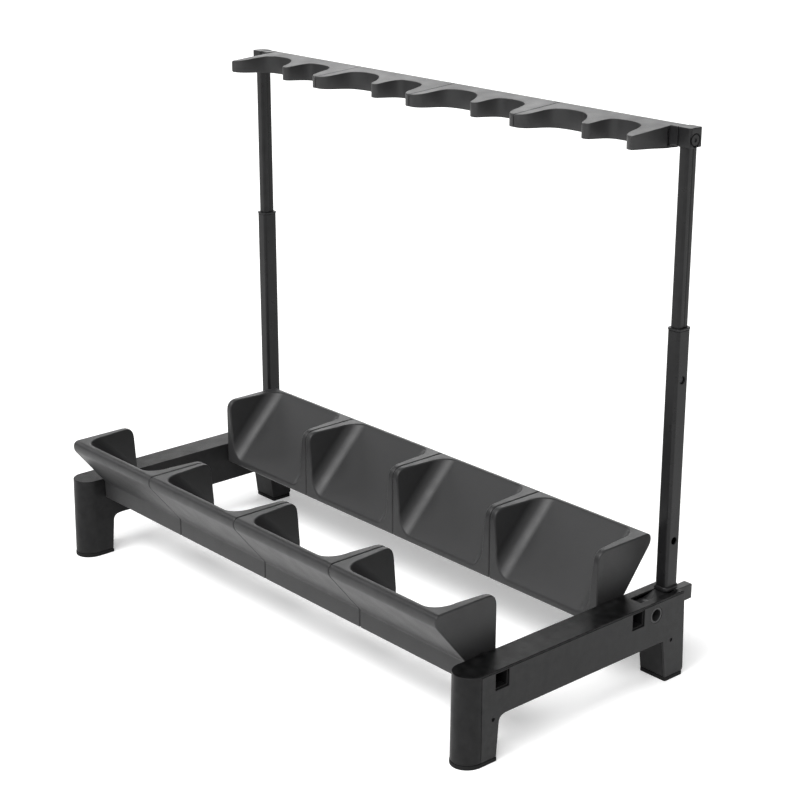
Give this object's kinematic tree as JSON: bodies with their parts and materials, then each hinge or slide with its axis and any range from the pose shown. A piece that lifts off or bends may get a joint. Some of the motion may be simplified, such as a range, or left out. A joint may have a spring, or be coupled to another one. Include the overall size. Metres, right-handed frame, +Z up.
{
  "type": "guitar rack",
  "caption": "Floor rack for a row of guitars: moulded side frames, sloping soft cradles on square tubes, and a folding telescopic frame with notched neck rests",
  "frame": {"origin": "on the floor under the middle of the rack", "axes": "+X along the rack to its right end as a player faces it, +Y to the rear where the posts stand, +Z up"},
  "size_m": [0.8008, 0.3865, 0.6615],
  "materials": {
    "shell": "moulded side frame, satin charcoal with a fine grain",
    "cover": "moulded outer cover, satin charcoal",
    "pad": "dark foot pad, matt",
    "soft": "soft matt dark grey moulding",
    "steel": "satin black powder coat",
    "nylon": "satin black moulding",
    "bright": "blackened steel"
  },
  "bodies": {
    "base": {"side_shell_left": "shell", "side_cover_left": "cover", "cover_screw_front_left": "bright", "cover_screw_rear_left": "bright", "foot_pad_front_left": "pad", "foot_pad_rear_left": "pad", "pivot_pin_left": "steel", "side_shell_right": "shell", "side_cover_right": "cover", "cover_screw_front_right": "bright", "cover_screw_rear_right": "bright", "foot_pad_front_right": "pad", "foot_pad_rear_right": "pad", "pivot_pin_right": "steel", "cross_tube_front": "steel", "cross_tube_rear": "steel", "cradle_front_1": "soft", "cradle_rear_1": "soft", "cradle_front_2": "soft", "cradle_rear_2": "soft", "cradle_front_3": "soft", "cradle_rear_3": "soft", "cradle_front_4": "soft", "cradle_rear_4": "soft"},
    "posts": {"hinge_carrier_left": "nylon", "post_boot_left": "nylon", "lower_tube_left": "steel", "tube_collar_left": "nylon", "hinge_carrier_right": "nylon", "post_boot_right": "nylon", "lower_tube_right": "steel", "tube_collar_right": "nylon"},
    "rail": {"upper_tube_left": "steel", "head_block_left": "nylon", "head_bolt_left": "steel", "rail_plug_left": "nylon", "upper_tube_right": "steel", "head_block_right": "nylon", "head_bolt_right": "steel", "rail_plug_right": "nylon", "rail_bar": "steel", "neck_rest_1": "soft", "neck_rest_2": "soft", "neck_rest_3": "soft", "neck_rest_4": "soft"},
    "button_left": {"snap_button_left": "bright"},
    "button_right": {"snap_button_right": "bright"},
    "latch_left": {"latch_slider_left": "nylon"},
    "latch_right": {"latch_slider_right": "nylon"}
  },
  "joints": [
    {"name": "posts_fold", "type": "hinge", "parent": "base", "child": "posts", "pos_m": [0, 0.1212, 0.0937], "axis": [1, 0, 0], "range_deg": [0, 90]},
    {"name": "rail_height", "type": "slide", "parent": "posts", "child": "rail", "axis": [0, 0, 1], "range_m": [-0.198, 0]},
    {"name": "button_left_press", "type": "slide", "parent": "rail", "child": "button_left", "axis": [1, 0, 0], "range_m": [0, 0.003], "stiffness_N_per_m": 600, "springref_m": -0.002},
    {"name": "button_right_press", "type": "slide", "parent": "rail", "child": "button_right", "axis": [-1, 0, 0], "range_m": [0, 0.003], "stiffness_N_per_m": 600, "springref_m": -0.002},
    {"name": "latch_left_pull", "type": "slide", "parent": "base", "child": "latch_left", "axis": [0, 1, 0], "range_m": [0, 0.0058], "stiffness_N_per_m": 500, "springref_m": -0.004},
    {"name": "latch_right_pull", "type": "slide", "parent": "base", "child": "latch_right", "axis": [0, 1, 0], "range_m": [0, 0.0058], "stiffness_N_per_m": 500, "springref_m": -0.004}
  ]
}
